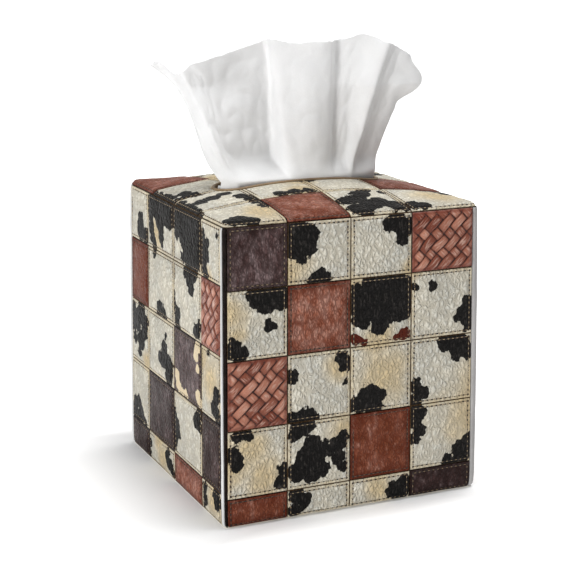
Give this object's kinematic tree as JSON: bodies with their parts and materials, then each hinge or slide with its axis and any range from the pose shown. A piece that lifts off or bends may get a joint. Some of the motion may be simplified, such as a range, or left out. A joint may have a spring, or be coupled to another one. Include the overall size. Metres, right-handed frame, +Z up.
{
  "type": "tissue box cover",
  "caption": "Padded slip-over cover for a cube tissue carton, sewn from cowhide, plain and woven leather patches, with a bound slot in its crowned top and a tissue raised through it.",
  "frame": {"origin": "middle of the base, on the surface that the carton and the cover stand on", "axes": "+Z up, +X to the right of someone facing the front, the front facing -Y"},
  "size_m": [0.1282, 0.1282, 0.2145],
  "materials": {
    "hide_leather": "pebbled cowhide, cream with black spots",
    "brown_leather": "satin red-brown grain",
    "dark_leather": "satin dark brown grain",
    "woven_leather": "satin woven strips",
    "plain_tape": "matt white tape",
    "foam_pad": "open-cell foam",
    "grey_board": "matt grey board",
    "lining_cloth": "matt woven cloth",
    "carton": "plain white carton board",
    "tissue_paper": "soft white tissue"
  },
  "bodies": {
    "refill": {"carton_shell": "carton", "tissue_stack": "tissue_paper"},
    "cover": {"back_board": "grey_board", "back_brown_patches": "brown_leather", "back_dark_patches": "dark_leather", "back_hide_patches": "hide_leather", "back_left_tape": "plain_tape", "back_lining": "lining_cloth", "back_pad": "foam_pad", "back_right_tape": "plain_tape", "back_woven_patches": "woven_leather", "front_board": "grey_board", "front_brown_patches": "brown_leather", "front_dark_patches": "dark_leather", "front_edge_band": "dark_leather", "front_hide_patches": "hide_leather", "front_left_tape": "plain_tape", "front_lining": "lining_cloth", "front_pad": "foam_pad", "front_right_tape": "plain_tape", "front_woven_patches": "woven_leather", "hem_band": "lining_cloth", "left_board": "grey_board", "left_brown_patches": "brown_leather", "left_dark_patches": "dark_leather", "left_hide_patches": "hide_leather", "left_lining": "lining_cloth", "left_pad": "foam_pad", "left_woven_patches": "woven_leather", "right_board": "grey_board", "right_brown_patches": "brown_leather", "right_dark_patches": "dark_leather", "right_hide_patches": "hide_leather", "right_lining": "lining_cloth", "right_pad": "foam_pad", "right_woven_patches": "woven_leather", "slot_binding": "plain_tape", "top_board": "grey_board", "top_brown_patches": "brown_leather", "top_hide_patches": "hide_leather", "top_lining": "lining_cloth", "top_pad": "foam_pad"},
    "tissue": {"raised_tissue": "tissue_paper"}
  },
  "joints": [
    {"name": "cover_lift", "type": "slide", "parent": "refill", "child": "cover", "axis": [0, 0, 1], "range_m": [0, 0.14]},
    {"name": "tissue_pull", "type": "slide", "parent": "cover", "child": "tissue", "axis": [0, 0, 1], "range_m": [0, 0.055]}
  ]
}
